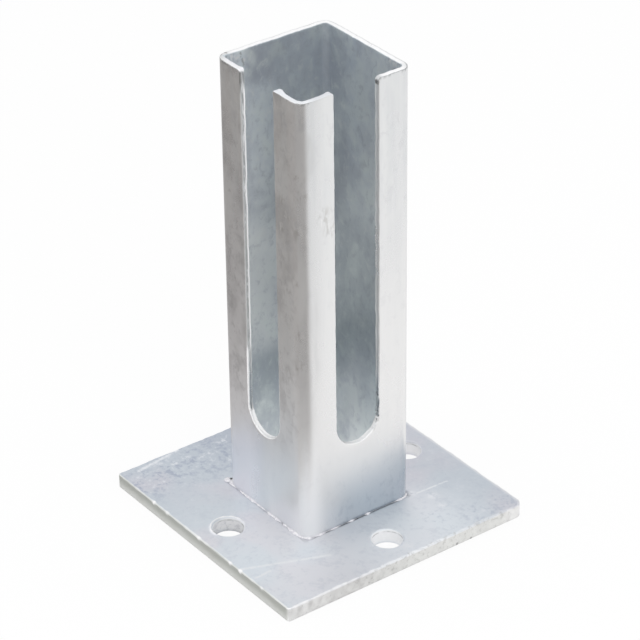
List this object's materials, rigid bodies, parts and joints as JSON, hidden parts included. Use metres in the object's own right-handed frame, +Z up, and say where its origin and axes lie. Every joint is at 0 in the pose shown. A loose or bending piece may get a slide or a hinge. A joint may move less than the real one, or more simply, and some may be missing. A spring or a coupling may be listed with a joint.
{
  "type": "fence post base plate",
  "caption": "Square galvanised steel base plate with anchor holes and an upright open-topped square sleeve, slotted in adjoining walls, that holds a fence corner post.",
  "frame": {"origin": "centre of the plate's underside, on the axis of the sleeve", "axes": "+Z up along the sleeve, out of its open mouth; the slotted walls face -Y and +X, square to the plate's sides"},
  "size_m": [0.15, 0.15, 0.254],
  "materials": {
    "galvanised_plate": "hot-dip galvanised, satin with cloudy spangle",
    "galvanised_sleeve": "hot-dip galvanised, satin with faint vertical streaks",
    "zinc_seam": "bright uneven zinc",
    "weld_metal": "galvanised weld bead"
  },
  "bodies": {
    "root": {"base_plate": "galvanised_plate", "post_sleeve": "galvanised_sleeve", "foot_seam": "zinc_seam", "root_weld": "weld_metal"}
  },
  "joints": []
}
